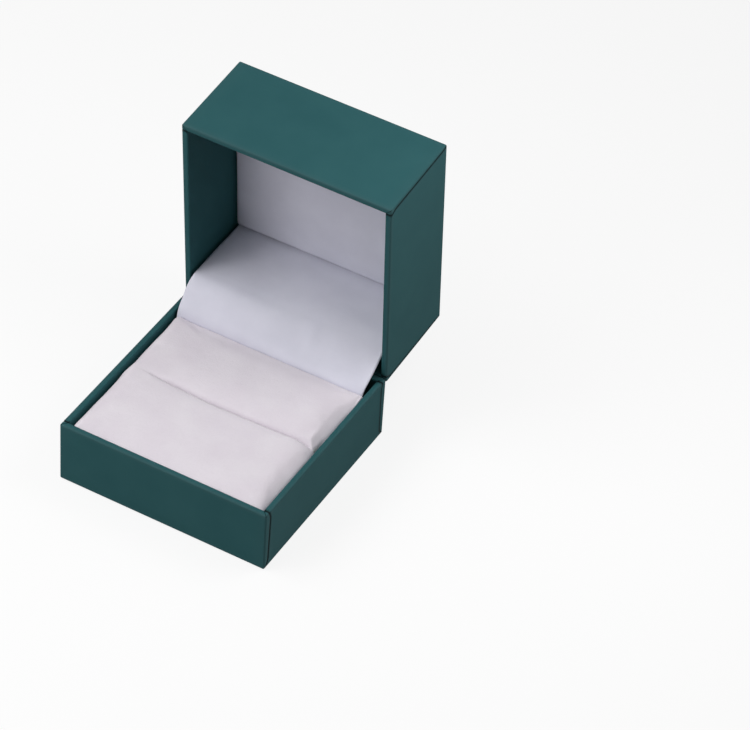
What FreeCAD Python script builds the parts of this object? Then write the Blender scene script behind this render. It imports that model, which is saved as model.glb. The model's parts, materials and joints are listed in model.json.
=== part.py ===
import FreeCAD, Part
import math
import os

# A small hinged gift box for jewellery, standing open.
# Two greyboard trays are wrapped in smooth matt paper and joined along their rear
# rims by a sprung steel hinge. The base holds a slit velvet cushion, the lid a
# flat padded lining, and a loose white flap hides the hinge between the two.
# X runs to the right, Y to the rear and Z up. The origin is the centre of the
# underside. The lid is drawn shut and then turned open about the hinge pin.

# Outer sizes in millimetres
box_width = 52.0
base_depth = 51.0
base_height = 16.2
lid_height = 24.0
lid_overhang = 1.2
rim_gap = 0.2
open_angle = 86.0

# Board and paper
board = 1.1
paper = 0.2
corner_round = 0.55
rim_round = 0.32
tape = 0.1
tape_leg = 8.0
tape_closed_inset = 0.6
tape_rim_inset = 1.0
base_turn_in = 12.0
lid_turn_in = 22.0
underside_turn_in = 8.0
sheet_inset = 1.0
seam_width = 0.25
seam_depth = 0.07
base_seam_foot_inset = 2.0
base_seam_rim_inset = 2.4
lid_seam_top_inset = 0.45
lid_seam_rim_inset = 0.85

# Cushion, pad and flap
hinge_bay = 7.2
cushion_side_gap = 0.5
cushion_front_gap = 0.2
slit_from_front = 21.6
slit_width = 0.5
slit_depth = 9.5
cushion_sink = 0.1
cushion_rise = 0.8
cushion_edge = 1.6
cushion_end_edge = 2.6
cushion_draw = 0.4
velvet = 0.4
foam_gap = 0.06
card = 0.8
cushion_card_inset = 0.5
tuck_end_inset = 1.0
lid_room = 18.9
pad_rise = 0.35
pad_edge = 1.1
pad_end_edge = 1.4
pad_draw = 0.2
pad_side_gap = 0.35
pad_card_inset = 0.3
flap = 0.5
flap_gap = 0.12
flap_side_gap = 0.9
flap_foot = 3.0
flap_bend = 0.4
flap_bend_radius = 3.0
flap_roof_gap = 0.5

# Hinge
pin_radius = 0.5
pin_head = 0.3
pin_head_rim = 0.3
pin_gap = 0.05
leaf = 0.4
hinge_length = 26.0
knuckle_length = 3.9
knuckle_gap = 0.2
notch_gap = 0.3
notch_end_gap = 0.7
leaf_reach = 10.4
lid_leaf_start = 1.3
rivet_radius = 0.6
rivet_head = 1.15
rivet_dome = 0.5
rivet_spacing = 20.0
rivet_drop = 7.6
fit_gap = 0.03
spring_width = 8.0
spring_sheet = 0.25
spring_foot = 7.5
spring_bow = 1.7
lug_width = 3.0
lug_reach = 0.9
foot_gap = 0.12

# How far a cutting shape reaches past what it cuts, and how near counts as equal
beyond = 1.0
same = 1e-6

# Places worked out from the sizes above
wall = board + 2 * paper
half_width = box_width / 2
half_depth = base_depth / 2
inner_half = half_width - wall
front_face = -half_depth + wall
hinge_y = half_depth
hinge_z = base_height
floor_top = wall
lid_rear = half_depth + lid_overhang
lid_rim = base_height + rim_gap
lid_top = lid_rim + lid_height
roof_under = lid_top - paper - board
bore_radius = pin_radius + pin_gap
knuckle_radius = bore_radius + leaf
half_hinge = hinge_length / 2
notch_half = half_hinge + notch_end_gap
pads_rear = half_depth - hinge_bay
cushion_front = front_face + cushion_front_gap
cushion_half = inner_half - cushion_side_gap
slit_y = front_face + slit_from_front
pad_half = inner_half - pad_side_gap
pad_front = front_face + pad_side_gap
board_half = half_width - paper
board_radius = corner_round - paper

Vector = FreeCAD.Vector
X_AXIS = Vector(1, 0, 0)
parts = {}


def block(x0, x1, y0, y1, z0, z1):
    """A plain block between two corners."""
    return Part.makeBox(x1 - x0, y1 - y0, z1 - z0, Vector(x0, y0, z0))


def is_upright(edge):
    """True for a straight edge that runs along Z."""
    start = edge.Vertexes[0].Point
    end = edge.Vertexes[-1].Point
    level = abs(start.x - end.x) + abs(start.y - end.y)
    return level < same and abs(start.z - end.z) > same


def rounded_block(x0, x1, y0, y1, z0, z1, radius):
    """A block whose four upright edges are rounded."""
    body = block(x0, x1, y0, y1, z0, z1)
    upright = [edge for edge in body.Edges if is_upright(edge)]
    return body.makeFillet(radius, upright)


def round_level_edges(body, z, radius):
    """Round every edge of a body that lies at one height."""
    level = []
    for edge in body.Edges:
        box = edge.BoundBox
        if abs(box.ZMin - z) < same and abs(box.ZMax - z) < same:
            level.append(edge)
    return body.makeFillet(radius, level)


def rod(radius, x0, x1, y, z):
    """A round bar along X."""
    return Part.makeCylinder(radius, x1 - x0, Vector(x0, y, z), X_AXIS)


def opened(shape):
    """Turn a shape from its shut place to its open place about the hinge pin."""
    turned = shape.copy()
    turned.rotate(Vector(0, hinge_y, hinge_z), X_AXIS, -open_angle)
    return turned


def opened_point(y, z):
    """The open place of a point given in the shut lid."""
    angle = math.radians(open_angle)
    rear = y - hinge_y
    up = z - hinge_z
    new_y = hinge_y + rear * math.cos(angle) + up * math.sin(angle)
    new_z = hinge_z - rear * math.sin(angle) + up * math.cos(angle)
    return new_y, new_z


def flat(y, z, x=0.0):
    """A point of a section that is drawn across the box."""
    return Vector(x, y, z)


def line(a, b):
    """A straight edge."""
    return Part.LineSegment(a, b).toShape()


def arc(a, middle, b):
    """An arc through three points."""
    return Part.Arc(a, middle, b).toShape()


def bent_strip(points, radii, thickness, x0, x1):
    """A strip of sheet bent along straight runs joined by arcs.

    The points are the centre line's corners in the section, and each inner corner
    has its own bend radius. Both faces of the sheet are drawn half a thickness away.
    """
    runs = []
    for (y0, z0), (y1, z1) in zip(points, points[1:]):
        length = math.hypot(y1 - y0, z1 - z0)
        runs.append(((y1 - y0) / length, (z1 - z0) / length))
    corners = []
    for number, radius in enumerate(radii):
        before, after = runs[number], runs[number + 1]
        cross = before[0] * after[1] - before[1] * after[0]
        dot = before[0] * after[0] + before[1] * after[1]
        turn = math.atan2(cross, dot)
        side = math.copysign(1.0, turn)
        back = radius * math.tan(abs(turn) / 2)
        y, z = points[number + 1]
        first = (y - before[0] * back, z - before[1] * back)
        last = (y + after[0] * back, z + after[1] * back)
        centre = (first[0] - before[1] * side * radius, first[1] + before[0] * side * radius)
        corners.append((first, last, centre, side, radius, before, after))

    def face_edges(offset):
        """One face of the sheet, as edges in order from the first point."""
        edges = []
        y, z = points[0]
        here = flat(y - runs[0][1] * offset, z + runs[0][0] * offset)
        for first, last, centre, side, radius, before, after in corners:
            start = flat(first[0] - before[1] * offset, first[1] + before[0] * offset)
            end = flat(last[0] - after[1] * offset, last[1] + after[0] * offset)
            edges.append(line(here, start))
            reach = radius - side * offset
            out_y = (start.y + end.y) / 2 - centre[0]
            out_z = (start.z + end.z) / 2 - centre[1]
            size = math.hypot(out_y, out_z)
            middle = flat(centre[0] + out_y / size * reach, centre[1] + out_z / size * reach)
            edges.append(arc(start, middle, end))
            here = end
        y, z = points[-1]
        stop = flat(y - runs[-1][1] * offset, z + runs[-1][0] * offset)
        edges.append(line(here, stop))
        return edges

    left = face_edges(thickness / 2)
    right = face_edges(-thickness / 2)
    caps = [
        line(left[0].firstVertex(True).Point, right[0].firstVertex(True).Point),
        line(left[-1].lastVertex(True).Point, right[-1].lastVertex(True).Point),
    ]
    wire = Part.Wire(Part.__sortEdges__(left + right + caps))
    face = Part.Face(wire)
    face.translate(Vector(x0, 0, 0))
    return face.extrude(Vector(x1 - x0, 0, 0))


def arc_strip(centre_y, centre_z, radius, thickness, first, last, x0, x1):
    """A strip of sheet bent to one arc, between two angles of the section."""

    def at(reach, angle):
        return flat(centre_y + reach * math.cos(angle), centre_z + reach * math.sin(angle), x0)

    inner = radius - thickness / 2
    outer = radius + thickness / 2
    middle = (first + last) / 2
    edges = [
        arc(at(outer, first), at(outer, middle), at(outer, last)),
        line(at(outer, last), at(inner, last)),
        arc(at(inner, last), at(inner, middle), at(inner, first)),
        line(at(inner, first), at(outer, first)),
    ]
    return Part.Face(Part.Wire(edges)).extrude(Vector(x1 - x0, 0, 0))


def shoulders(low, high, foot, level, crest, edge, place):
    """The outline of a cushion seen from one side, as edges in order.

    It has a flat foot, upright sides, rounded shoulders that end at the level, and
    a crowned top that reaches the crest.
    """
    turn = edge * (1 - math.sqrt(0.5))
    low_foot = place(low, foot)
    high_foot = place(high, foot)
    high_side = place(high, level - edge)
    high_top = place(high - edge, level)
    low_side = place(low, level - edge)
    low_top = place(low + edge, level)
    return [
        line(low_foot, high_foot),
        line(high_foot, high_side),
        arc(high_side, place(high - turn, level - turn), high_top),
        arc(high_top, place((low + high) / 2, crest), low_top),
        arc(low_top, place(low + turn, level - turn), low_side),
        line(low_side, low_foot),
    ]


def padded_form(half, y0, y1, z0, level, rise, edge, end_edge, draw):
    """A crowned cushion, as what three outlines have in common.

    One outline is seen from the end, one from the front, and the third from above,
    where each side pulls in a little between its corners. The first two are drawn a
    little wide, so that only the third cuts the sides.
    """
    crest = level + rise
    wide = half + draw
    near = y0 - draw
    far = y1 + draw
    end = shoulders(near, far, z0, level, crest, edge + draw, lambda y, z: Vector(-wide, y, z))
    front = shoulders(
        -wide, wide, z0, crest, crest + rise, end_edge + draw, lambda x, z: Vector(x, near, z)
    )
    along = Part.Face(Part.Wire(end)).extrude(Vector(2 * wide, 0, 0))
    across = Part.Face(Part.Wire(front)).extrude(Vector(0, far - near, 0))
    middle = (y0 + y1) / 2
    near_left, near_right = Vector(-half, y0, z0), Vector(half, y0, z0)
    far_left, far_right = Vector(-half, y1, z0), Vector(half, y1, z0)
    plan = [
        arc(near_left, Vector(0, y0 + draw, z0), near_right),
        arc(near_right, Vector(half - draw, middle, z0), far_right),
        arc(far_right, Vector(0, y1 - draw, z0), far_left),
        arc(far_left, Vector(-half + draw, middle, z0), near_left),
    ]
    upright = Part.Face(Part.Wire(plan)).extrude(Vector(0, 0, crest + beyond - z0))
    return along.common(across).common(upright)


def foam_block(half, y0, y1, z0, z1, slope):
    """A block of foam with its four upper edges cut off at a slope."""
    body = block(-half, half, y0, y1, z0, z1)
    upper = [item for item in body.Edges if item.BoundBox.ZMin > z1 - same]
    return body.makeChamfer(slope, upper)


def rivet(x, y, z, toward, length):
    """A domed rivet along Y: its head faces the given way, its shank goes the other."""
    ball = (rivet_head ** 2 + rivet_dome ** 2) / (2 * rivet_dome)
    dome = Part.makeSphere(ball, Vector(x, y - toward * (ball - rivet_dome), z))
    room = Part.makeCylinder(
        rivet_head + beyond, rivet_dome + beyond, Vector(x, y, z), Vector(0, toward, 0)
    )
    shank = Part.makeCylinder(rivet_radius, length, Vector(x, y, z), Vector(0, -toward, 0))
    return dome.common(room).fuse(shank).removeSplitter()


def rivet_holes(y0, y1, z):
    """The holes of one leaf's rivets, through everything between two places."""
    radius = rivet_radius + fit_gap
    holes = []
    for x in (-rivet_spacing / 2, rivet_spacing / 2):
        holes.append(Part.makeCylinder(radius, y1 - y0, Vector(x, y0, z), Vector(0, 1, 0)))
    return holes[0].fuse(holes[1])


def upright_block(near, far, half, first, last):
    """A block across the box between two heights, given in either order."""
    return block(-half, half, near, far, min(first, last), max(first, last))


def board_tray(near, far, closed, rim):
    """A greyboard tray between its outer faces: four walls and the closed end."""
    up = math.copysign(1.0, rim - closed)
    low, high = min(closed, rim), max(closed, rim)
    body = rounded_block(-board_half, board_half, near, far, low, high, board_radius)
    hollow = upright_block(
        near + board, far - board, board_half - board, closed + up * board, rim + up * beyond
    )
    return body.cut(hollow)


def corner_tapes(near, far, closed, rim):
    """Four stays of gummed tape, folded round the upright corners of a board tray."""
    up = math.copysign(1.0, rim - closed)
    first, last = closed + up * tape_closed_inset, rim - up * tape_rim_inset
    low, high = min(first, last), max(first, last)
    outer_half = board_half + tape
    skin = rounded_block(-outer_half, outer_half, near - tape, far + tape, low, high, board_radius + tape)
    core = rounded_block(-board_half, board_half, near, far, low - beyond, high + beyond, board_radius)
    skin = skin.cut(core)
    stays = []
    for x in (-board_half - beyond, board_half + beyond - tape_leg):
        for y in (near - beyond, far + beyond - tape_leg):
            corner = block(x, x + tape_leg, y, y + tape_leg, low - beyond, high + beyond)
            stays.extend(skin.common(corner).Solids)
    return Part.makeCompound(stays)


def paper_wrap(near, far, closed, rim, floor, turn_in):
    """The outside of a wrapped tray, hollowed to the paper that turns in over its rim.

    The paper lines the inner walls for the turn-in's length below the rim. Past that
    line the board is bare, so the room there is wider by the paper's thickness.
    """
    up = math.copysign(1.0, rim - closed)
    low, high = min(closed, rim), max(closed, rim)
    skin = rounded_block(-half_width, half_width, near, far, low, high, corner_round)
    skin = round_level_edges(skin, rim, rim_round)
    skin = round_level_edges(skin, closed, rim_round)
    lined = upright_block(near + wall, far - wall, inner_half, floor, rim + up * beyond)
    bare = upright_block(
        near + wall - paper, far - wall + paper, inner_half + paper, floor, rim - up * turn_in
    )
    return skin.cut(lined).cut(bare)


def seam_groove(side, y_edge, inward, z_closed, z_rim, closed_inset, rim_inset):
    """The slanting line where one panel's paper ends beside an upright corner.

    It runs from near the corner at the closed end to further in at the rim.
    """
    first = y_edge + inward * closed_inset
    last = y_edge + inward * rim_inset
    deep = side * (half_width - seam_depth)
    points = [
        Vector(deep, first, z_closed),
        Vector(deep, first + inward * seam_width, z_closed),
        Vector(deep, last + inward * seam_width, z_rim),
        Vector(deep, last, z_rim),
    ]
    face = Part.Face(Part.makePolygon(points + points[:1]))
    return face.extrude(Vector(side, 0, 0))


def mitre_groove(side, y_edge, inward, rim, up):
    """The shallow line across a rim corner, where two turned-in flaps of paper meet."""
    length = wall * math.sqrt(2) + 2 * beyond
    z0 = -seam_depth if up > 0 else -beyond
    bar = Part.makeBox(
        length, seam_width, seam_depth + beyond, Vector(-beyond, -seam_width / 2, z0)
    )
    bar.rotate(Vector(0, 0, 0), Vector(0, 0, 1), math.degrees(math.atan2(inward, -side)))
    bar.translate(Vector(side * half_width, y_edge, rim))
    return bar


def cut_seams(wrap, near, far, closed, rim, closed_inset, rim_inset):
    """Cut the four seams of a wrap into its side walls, and the four mitres into its rim."""
    up = math.copysign(1.0, rim - closed)
    z_closed, z_rim = closed + up * rim_round, rim - up * rim_round
    for side in (-1, 1):
        for y_edge, inward in ((near, 1), (far, -1)):
            seam = seam_groove(side, y_edge, inward, z_closed, z_rim, closed_inset, rim_inset)
            wrap = wrap.cut(seam).cut(mitre_groove(side, y_edge, inward, rim, up))
    return wrap


# Base tray: greyboard, corner stays, wrapping paper and underside sheet
board_near = -half_depth + paper
board_far = half_depth - paper
board_foot = 2 * paper
board_rim = base_height - paper
hole_z = hinge_z - rivet_drop
base_leaf_face = half_depth - wall
base_notch = upright_block(
    base_leaf_face - beyond,
    half_depth + beyond,
    notch_half,
    hinge_z - knuckle_radius - notch_gap,
    hinge_z + beyond,
)
base_holes = rivet_holes(base_leaf_face - leaf - beyond, board_far, hole_z)

base_solid = board_tray(board_near, board_far, board_foot, board_rim)
base_tapes = corner_tapes(board_near, board_far, board_foot, board_rim)
parts["base_board"] = base_solid.cut(base_notch).cut(base_holes)
parts["base_corner_tapes"] = base_tapes

base_wrap = paper_wrap(-half_depth, half_depth, paper, base_height, floor_top, base_turn_in)
sheet_window = upright_block(
    -half_depth + underside_turn_in,
    half_depth - underside_turn_in,
    half_width - underside_turn_in,
    0,
    board_foot,
)
base_wrap = base_wrap.cut(base_solid).cut(base_tapes).cut(sheet_window)
base_wrap = base_wrap.cut(base_notch).cut(base_holes)
base_wrap = cut_seams(
    base_wrap, -half_depth, half_depth, paper, base_height, base_seam_foot_inset, base_seam_rim_inset
)
parts["base_wrap"] = base_wrap

sheet_y = half_depth - sheet_inset
underside_sheet = upright_block(-sheet_y, sheet_y, half_width - sheet_inset, 0, paper)
infill_inset = underside_turn_in + fit_gap
infill = upright_block(
    -half_depth + infill_inset, half_depth - infill_inset, half_width - infill_inset, 0, board_foot
)
parts["underside_sheet"] = underside_sheet.fuse(infill).removeSplitter()

# Lid tray, drawn shut
lid_near = -half_depth + paper
lid_far = lid_rear - paper
lid_hole_z = hinge_z + rivet_drop
lid_leaf_face = lid_rear - wall
lid_notch = upright_block(
    lid_leaf_face - beyond,
    lid_rear + beyond,
    notch_half,
    lid_rim - beyond,
    hinge_z + knuckle_radius + notch_gap,
)
lid_holes = rivet_holes(lid_leaf_face - leaf - beyond, lid_far, lid_hole_z)

lid_solid = board_tray(lid_near, lid_far, lid_top - paper, lid_rim + paper)
lid_tapes = corner_tapes(lid_near, lid_far, lid_top - paper, lid_rim + paper)
parts["lid_board"] = opened(lid_solid.cut(lid_notch).cut(lid_holes))
parts["lid_corner_tapes"] = opened(lid_tapes)

lid_wrap = paper_wrap(-half_depth, lid_rear, lid_top, lid_rim, roof_under, lid_turn_in)
lid_wrap = lid_wrap.cut(lid_solid).cut(lid_tapes)
lid_wrap = lid_wrap.cut(lid_notch).cut(lid_holes)
lid_wrap = cut_seams(
    lid_wrap, -half_depth, lid_rear, lid_top, lid_rim, lid_seam_top_inset, lid_seam_rim_inset
)
parts["lid_wrap"] = opened(lid_wrap)

# Cushion in the base: a card, two foam blocks side by side and one velvet cover
card_top = floor_top + card
slit_near = slit_y - slit_width / 2
slit_far = slit_y + slit_width / 2
cushion_level = base_height - cushion_sink


def cushion_half_form(near, far):
    """One half of the cushion, as a velvet shell and the foam block that fills it."""
    form = padded_form(
        cushion_half,
        near,
        far,
        card_top,
        cushion_level,
        cushion_rise,
        cushion_edge,
        cushion_end_edge,
        cushion_draw,
    )
    inset = velvet + cushion_draw
    top = cushion_level - velvet
    room = foam_block(
        cushion_half - inset, near + inset, far - inset, card_top - beyond, top, cushion_edge
    )
    inset = inset + foam_gap
    foam = foam_block(
        cushion_half - inset, near + inset, far - inset, card_top, top - foam_gap, cushion_edge
    )
    return form.cut(room), foam


front_cover, front_foam = cushion_half_form(cushion_front, slit_near)
rear_cover, rear_foam = cushion_half_form(slit_far, pads_rear)
tuck_z = cushion_level - slit_depth
tuck = upright_block(
    slit_near - velvet, slit_far + velvet, cushion_half - tuck_end_inset, tuck_z - velvet, tuck_z
)
parts["cushion_foam_front"] = front_foam
parts["cushion_foam_rear"] = rear_foam
parts["cushion_cover"] = front_cover.fuse(rear_cover).fuse(tuck).removeSplitter()
parts["cushion_card"] = upright_block(
    cushion_front + cushion_card_inset, pads_rear, cushion_half - cushion_card_inset, floor_top, card_top
)

# Pad in the lid: a card, thin foam and a velvet cover
pad_level = hinge_z + lid_room
pad_card_z = roof_under - card


def hung(shape):
    """Turn a form that was drawn face up over, so that it hangs from the lid's roof."""
    turned = shape.mirror(Vector(0, 0, 0), Vector(0, 0, 1))
    turned.translate(Vector(0, 0, pad_card_z))
    return turned


pad_deep = pad_card_z - pad_level
pad_flat = pad_deep - pad_rise
pad_form = padded_form(
    pad_half, pad_front, pads_rear, 0, pad_flat, pad_rise, pad_edge, pad_end_edge, pad_draw
)
inset = velvet + pad_draw
room = foam_block(
    pad_half - inset, pad_front + inset, pads_rear - inset, -beyond, pad_flat - velvet, pad_edge
)
parts["lid_pad_cover"] = opened(hung(pad_form.cut(room)))
inset = inset + foam_gap
pad_foam = foam_block(
    pad_half - inset, pad_front + inset, pads_rear - inset, 0, pad_flat - velvet - foam_gap, pad_edge
)
parts["lid_pad_foam"] = opened(hung(pad_foam))
pad_card = upright_block(
    pad_front + pad_card_inset, pads_rear, pad_half - pad_card_inset, pad_card_z, roof_under
)
parts["lid_pad_card"] = opened(pad_card)

# Flap over the hinge: tucked behind the cushion below and behind the pad above
flap_y = pads_rear + flap_gap + flap / 2
flap_points = [
    (flap_y, flap_foot),
    (flap_y, hinge_z + flap_bend),
    opened_point(flap_y, hinge_z - flap_bend),
    opened_point(flap_y, roof_under - flap_roof_gap),
]
flap_half = inner_half - flap_side_gap
flap_radii = (flap_bend_radius, flap_bend_radius)
parts["hinge_flap"] = bent_strip(flap_points, flap_radii, flap, -flap_half, flap_half)

# Hinge: two leaves with rolled knuckles on one pin, rivets and a bowed spring
outer_ends = (half_hinge - knuckle_length, half_hinge)
inner_ends = (outer_ends[0] - knuckle_gap - knuckle_length, outer_ends[0] - knuckle_gap)


def both_sides(ends):
    """A range along the pin and its mirror image."""
    low, high = ends
    return [(-high, -low), (low, high)]


def knuckle(x0, x1, tab):
    """A rolled eye round the pin, with the tab that joins it to its leaf."""
    eye = rod(knuckle_radius, x0, x1, hinge_y, hinge_z).fuse(tab)
    return eye.cut(rod(bore_radius, x0 - beyond, x1 + beyond, hinge_y, hinge_z))


def lug(face, z):
    """A small lanced tongue, standing forward of a leaf, that holds one foot of the spring."""
    return upright_block(face - lug_reach, face, lug_width / 2, z, z + leaf)


base_leaf_low = hinge_z - leaf_reach
tab_z = hinge_z - knuckle_radius
base_leaf = upright_block(
    base_leaf_face - leaf, base_leaf_face, half_hinge, base_leaf_low, tab_z + leaf
)
for x0, x1 in both_sides(outer_ends):
    tab = block(x0, x1, base_leaf_face - leaf, hinge_y, tab_z, tab_z + leaf)
    base_leaf = base_leaf.fuse(knuckle(x0, x1, tab))
base_leaf = base_leaf.cut(base_holes)
foot_z = hinge_z - spring_foot
base_leaf = base_leaf.fuse(lug(base_leaf_face - leaf, foot_z - leaf - foot_gap))
parts["hinge_base_leaf"] = base_leaf.removeSplitter()

lid_leaf = upright_block(
    lid_leaf_face - leaf, lid_leaf_face, half_hinge, hinge_z + lid_leaf_start, hinge_z + leaf_reach
)
for x0, x1 in both_sides(inner_ends):
    tab = block(x0, x1, lid_leaf_face - leaf, lid_leaf_face, hinge_z, hinge_z + lid_leaf_start)
    lid_leaf = lid_leaf.fuse(knuckle(x0, x1, tab))
lid_leaf = lid_leaf.cut(lid_holes)
lid_foot_z = hinge_z + spring_foot
lid_leaf = lid_leaf.fuse(lug(lid_leaf_face - leaf, lid_foot_z + foot_gap))
parts["hinge_lid_leaf"] = opened(lid_leaf.removeSplitter())

pin_end = half_hinge + pin_gap
pin = rod(pin_radius, -pin_end, pin_end, hinge_y, hinge_z)
for x0, x1 in both_sides((pin_end, pin_end + pin_head)):
    pin = pin.fuse(rod(pin_radius + pin_head_rim, x0, x1, hinge_y, hinge_z))
parts["hinge_pin"] = pin.removeSplitter()

shank = leaf + paper + board
base_rivets = []
lid_rivets = []
for x in (-rivet_spacing / 2, rivet_spacing / 2):
    base_rivets.append(rivet(x, base_leaf_face - leaf, hole_z, -1, shank))
    lid_rivets.append(opened(rivet(x, lid_leaf_face - leaf, lid_hole_z, -1, shank)))
parts["base_rivets"] = Part.makeCompound(base_rivets)
parts["lid_rivets"] = Part.makeCompound(lid_rivets)

# The spring's two feet stand on the lugs, and its bow clears the knuckles
first_y = base_leaf_face - leaf - spring_sheet - foot_gap
first_z = foot_z
last_y, last_z = opened_point(lid_leaf_face - leaf - spring_sheet - foot_gap, lid_foot_z)
chord_y, chord_z = last_y - first_y, last_z - first_z
chord = math.hypot(chord_y, chord_z)
middle_y, middle_z = (first_y + last_y) / 2, (first_z + last_z) / 2
out_y, out_z = -chord_z / chord, chord_y / chord
pin_out = (hinge_y - middle_y) * out_y + (hinge_z - middle_z) * out_z
bow = pin_out + spring_bow
spring_radius = (chord * chord / 4 + bow * bow) / (2 * bow)
centre_y = middle_y + out_y * (bow - spring_radius)
centre_z = middle_z + out_z * (bow - spring_radius)
first_angle = math.atan2(first_z - centre_z, first_y - centre_y)
last_angle = math.atan2(last_z - centre_z, last_y - centre_y)
if first_angle < last_angle:
    first_angle += 2 * math.pi
spring_half = spring_width / 2
parts["hinge_spring"] = arc_strip(
    centre_y, centre_z, spring_radius, spring_sheet, last_angle, first_angle, -spring_half, spring_half
)

os.makedirs("parts", exist_ok=True)
for name, shape in parts.items():
    shape.exportStep("parts/" + name + ".step")
    volume = sum(solid.Volume for solid in shape.Solids)
    print(name, "solids", len(shape.Solids), "valid", shape.isValid(), "volume", round(volume, 2))
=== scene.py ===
# %% [markdown]
# A small hinged gift box, standing open. Two greyboard trays are wrapped in teal paper,
# the base holds a slit velvet cushion, the lid holds a padded lining, and a white flap
# hides the hinge between them. The construction is already measured and fixed. What is
# left is how it looks, so this lesson dresses each soft or papered piece in turn.

# %% Load the fixed frame
import json
import math

import bmesh
import bpy
import numpy as np
from mathutils import Matrix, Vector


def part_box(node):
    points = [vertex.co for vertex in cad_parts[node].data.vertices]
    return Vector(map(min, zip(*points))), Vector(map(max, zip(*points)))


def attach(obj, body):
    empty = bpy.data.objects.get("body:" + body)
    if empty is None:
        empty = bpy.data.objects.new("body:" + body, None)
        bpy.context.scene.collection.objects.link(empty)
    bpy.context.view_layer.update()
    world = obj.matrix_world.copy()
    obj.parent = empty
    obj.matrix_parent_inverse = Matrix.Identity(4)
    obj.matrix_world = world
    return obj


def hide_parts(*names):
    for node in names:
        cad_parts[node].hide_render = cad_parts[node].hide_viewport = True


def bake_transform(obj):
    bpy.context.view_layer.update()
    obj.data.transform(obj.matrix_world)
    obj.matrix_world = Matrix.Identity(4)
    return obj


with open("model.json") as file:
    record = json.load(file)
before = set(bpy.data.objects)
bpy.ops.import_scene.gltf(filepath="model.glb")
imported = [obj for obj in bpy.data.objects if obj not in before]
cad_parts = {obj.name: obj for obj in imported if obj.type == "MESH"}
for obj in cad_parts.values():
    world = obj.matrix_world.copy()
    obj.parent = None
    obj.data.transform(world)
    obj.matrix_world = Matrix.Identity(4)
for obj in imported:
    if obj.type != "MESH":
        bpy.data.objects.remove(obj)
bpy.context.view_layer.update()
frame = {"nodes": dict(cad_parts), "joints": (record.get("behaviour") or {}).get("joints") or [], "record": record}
print("pieces in the frame:", len(frame["nodes"]))

# %% [markdown]
# Every length below is written in millimetres and turned into metres once. The outer
# sizes are read from the frame, so the dressed pieces follow it. The lid is worked out
# as if it were shut, where all its walls are level or upright, and is then turned open
# about the hinge pin. That keeps each formula short.

# %% Sizes
mm = 0.001
base_low, base_high = (np.array(corner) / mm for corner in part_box("base_wrap"))
half_width, half_depth, base_height = base_high
paper = base_low[2]
board = 1.1
wall = board + 2 * paper
inner_half = half_width - wall

hinge = frame["joints"][0]
pin = np.array(hinge["pos_m"]) / mm
open_angle = math.radians(hinge["range_deg"][1])

rim_gap = 0.2
lid_height = 24.0
lid_rear = half_depth + 1.2
lid_rim = base_height + rim_gap
lid_top = lid_rim + lid_height
print("outer width", round(2 * half_width, 2), "base height", round(base_height, 2))


def opened(points):
    """Turn shut-lid points about the pin by the opening angle, away from the base."""
    turned = np.array(points, float)
    rear = turned[..., 1] - pin[1]
    up = turned[..., 2] - pin[2]
    turned[..., 1] = pin[1] + rear * math.cos(open_angle) + up * math.sin(open_angle)
    turned[..., 2] = pin[2] - rear * math.sin(open_angle) + up * math.cos(open_angle)
    return turned


# %% [markdown]
# The camera and the light come before any piece, because every later choice is judged
# through them. A long lens far away gives the near-parallel edges of a product shot.
# The camera's three axes are worked out from its bearing, its height angle and a small
# roll, and put in its matrix as columns.

# %% Camera
picture_width = 750
focal_pixels = 3951.0
roll = math.radians(4.11)
camera_place = np.array([313.93, -542.3, 605.0])


def direction(bearing, height_angle):
    """The direction away from the box at a bearing and a height angle in degrees. A
    bearing of 0 is in front of the box and 90 is on its right."""
    turn, lift = math.radians(bearing), math.radians(height_angle)
    flat = math.cos(lift)
    return np.array([math.sin(turn) * flat, -math.cos(turn) * flat, math.sin(lift)])


def standing(side, top, away, place):
    """A matrix whose columns are three axes and a place in millimetres."""
    made = Matrix.Identity(4)
    for row in range(3):
        made[row] = side[row], top[row], away[row], place[row] * mm
    return made


back = direction(bearing=27.13, height_angle=42.57)
level = np.cross(-back, [0.0, 0.0, 1.0])
level /= np.linalg.norm(level)
upright = np.cross(level, -back)
right = math.cos(roll) * level + math.sin(roll) * upright
up = math.cos(roll) * upright - math.sin(roll) * level

lens = bpy.data.cameras.new("camera")
lens.sensor_width = 36.0
lens.lens = focal_pixels * lens.sensor_width / picture_width
camera = bpy.data.objects.new("camera", lens)
camera.matrix_world = standing(right, up, back, camera_place)
scene = bpy.context.scene
scene.collection.objects.link(camera)
scene.camera = camera
scene.view_settings.view_transform = "Standard"
print("lens", round(lens.lens, 1), "mm")

# %% [markdown]
# Soft studio light from three square lamps. The key stands high on the left, the fill
# lower in front, and the third close behind on the right, where it reaches the lid's
# right side but not its inside. So the lid's left inner wall stays in its own shade and
# the lining grows brighter towards the right. A faint surround keeps the deepest corners
# from going black. The camera sees it as plain white.

# %% Light
light_target = np.array([0.0, 10.0, 25.0])
lamp_width_share = 0.6
surround_to_light = 0.2
surround_to_camera = 1.0


def lamp(name, bearing, height_angle, distance, power):
    """A square lamp that looks at the box. Its width is always the same share of its
    distance, so that every lamp throws equally soft shadows."""
    light = bpy.data.lights.new(name, "AREA")
    light.size = lamp_width_share * distance * mm
    light.energy = power
    holder = bpy.data.objects.new(name, light)
    holder.visible_camera = False
    scene.collection.objects.link(holder)
    away = direction(bearing, height_angle)
    side = np.cross([0.0, 0.0, 1.0], away)
    side /= np.linalg.norm(side)
    place = light_target + distance * away
    holder.matrix_world = standing(side, np.cross(away, side), away, place)


lamp("key", bearing=-60, height_angle=52, distance=340, power=0.54)
lamp("fill", bearing=-30, height_angle=32, distance=340, power=0.35)
lamp("rear", bearing=112, height_angle=50, distance=170, power=0.12)


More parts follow.
